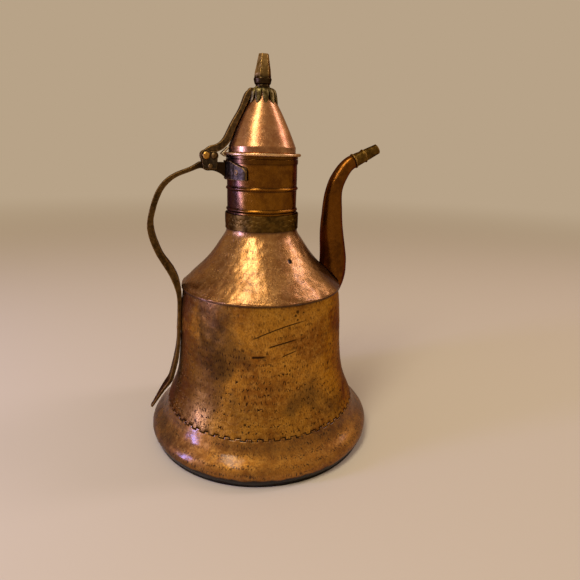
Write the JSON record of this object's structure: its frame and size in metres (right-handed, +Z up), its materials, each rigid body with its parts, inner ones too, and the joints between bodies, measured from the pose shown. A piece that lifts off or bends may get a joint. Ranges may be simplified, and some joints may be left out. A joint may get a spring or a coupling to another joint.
{
  "type": "coffee pot",
  "caption": "Hand-made copper coffee pot with a flared body, banded neck, curved spout, strap handle and a conical lid on a hinge.",
  "frame": {"origin": "centre of the flat underside, on the surface that the pot stands on", "axes": "+Z up along the body's axis; +X towards the spout, -X towards the handle; the hinge pin lies along Y"},
  "size_m": [0.2052, 0.2006, 0.32],
  "materials": {
    "aged_copper": "hammered copper with a worn brown patina",
    "dark_copper": "darkened copper",
    "old_brass": "forged brass with a dark olive patina",
    "bright_brass": "rubbed brass"
  },
  "bodies": {
    "pot": {"base_pan": "aged_copper", "body_wall": "aged_copper", "shoulder_cone": "aged_copper", "neck_collar": "dark_copper", "neck_tube": "dark_copper", "neck_mouth_band": "dark_copper", "spout_tube": "aged_copper", "spout_tip": "old_brass", "handle_bar": "old_brass", "neck_clasp": "old_brass", "clasp_rivets": "old_brass", "leg_rivets": "aged_copper", "hinge_cheeks": "old_brass", "cheek_rivets": "old_brass", "hinge_pin": "bright_brass"},
    "lid": {"lid_cone": "aged_copper", "lid_rim_ring": "aged_copper", "lid_inner_collar": "dark_copper", "rim_clip": "bright_brass", "lid_strap": "old_brass", "petal_crown": "old_brass", "finial": "old_brass", "finial_washer": "old_brass"}
  },
  "joints": [
    {"name": "lid_hinge", "type": "hinge", "parent": "pot", "child": "lid", "pos_m": [-0.0458, 0, 0.2442], "axis": [0, -1, 0], "range_deg": [0, 135]}
  ]
}
